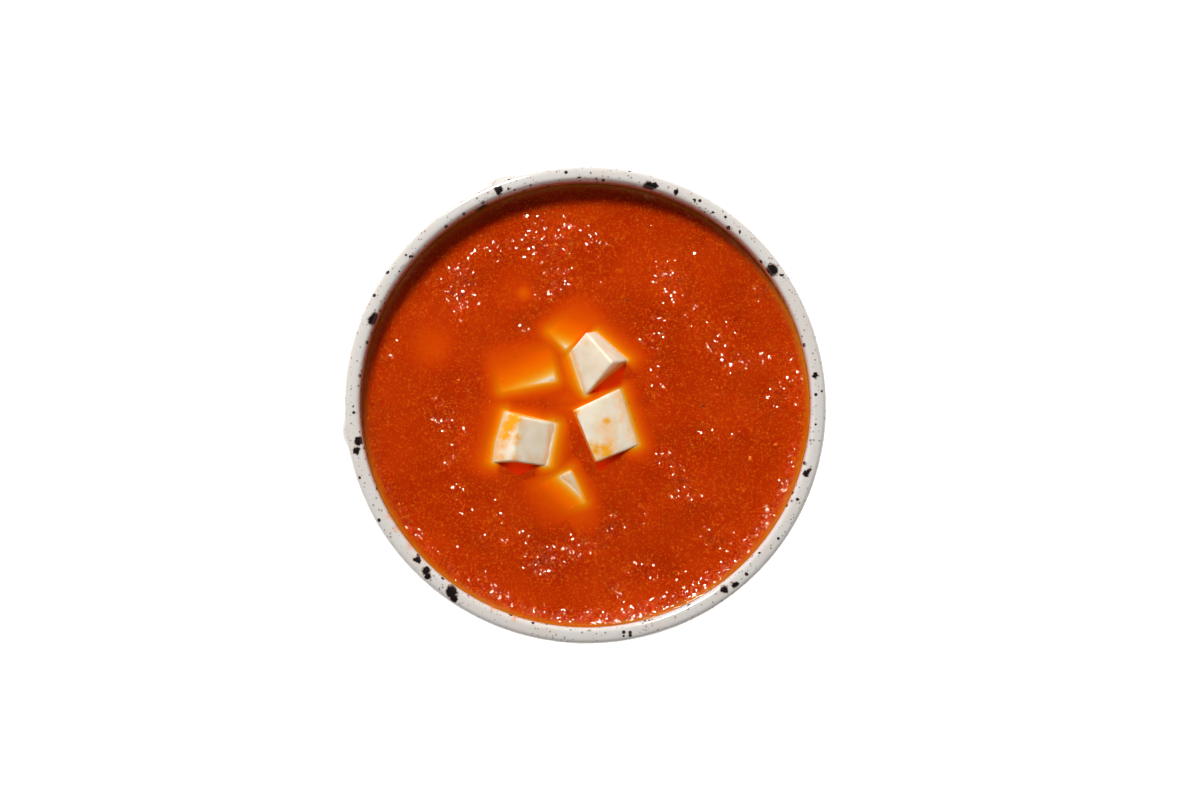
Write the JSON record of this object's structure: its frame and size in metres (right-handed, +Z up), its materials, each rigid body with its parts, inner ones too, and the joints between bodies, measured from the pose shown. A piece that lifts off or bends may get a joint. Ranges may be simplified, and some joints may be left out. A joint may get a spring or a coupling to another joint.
{
  "type": "bowl of tomato soup",
  "caption": "Speckled handmade stoneware bowl filled with thick tomato soup, with cut chunks of white cheese standing out of it and half sunk in it.",
  "frame": {"origin": "on the table, under the middle of the bowl", "axes": "+Z up through the bowl's mouth, +Y to the far side of the bowl for someone who sits at it, +X to their right"},
  "size_m": [0.1521, 0.1496, 0.0622],
  "materials": {
    "stoneware": "glossy pale grey glaze with dark iron specks",
    "soup": "wet, slightly grainy orange-red soup",
    "cheese": "cream-white fresh cheese, cut faces, satin"
  },
  "bodies": {
    "root": {"bowl": "stoneware", "soup": "soup", "cheese_back": "cheese", "cheese_right": "cheese", "cheese_left": "cheese", "cheese_sunk_left": "cheese", "cheese_sunk_back": "cheese", "cheese_sunk_front": "cheese"}
  },
  "joints": []
}
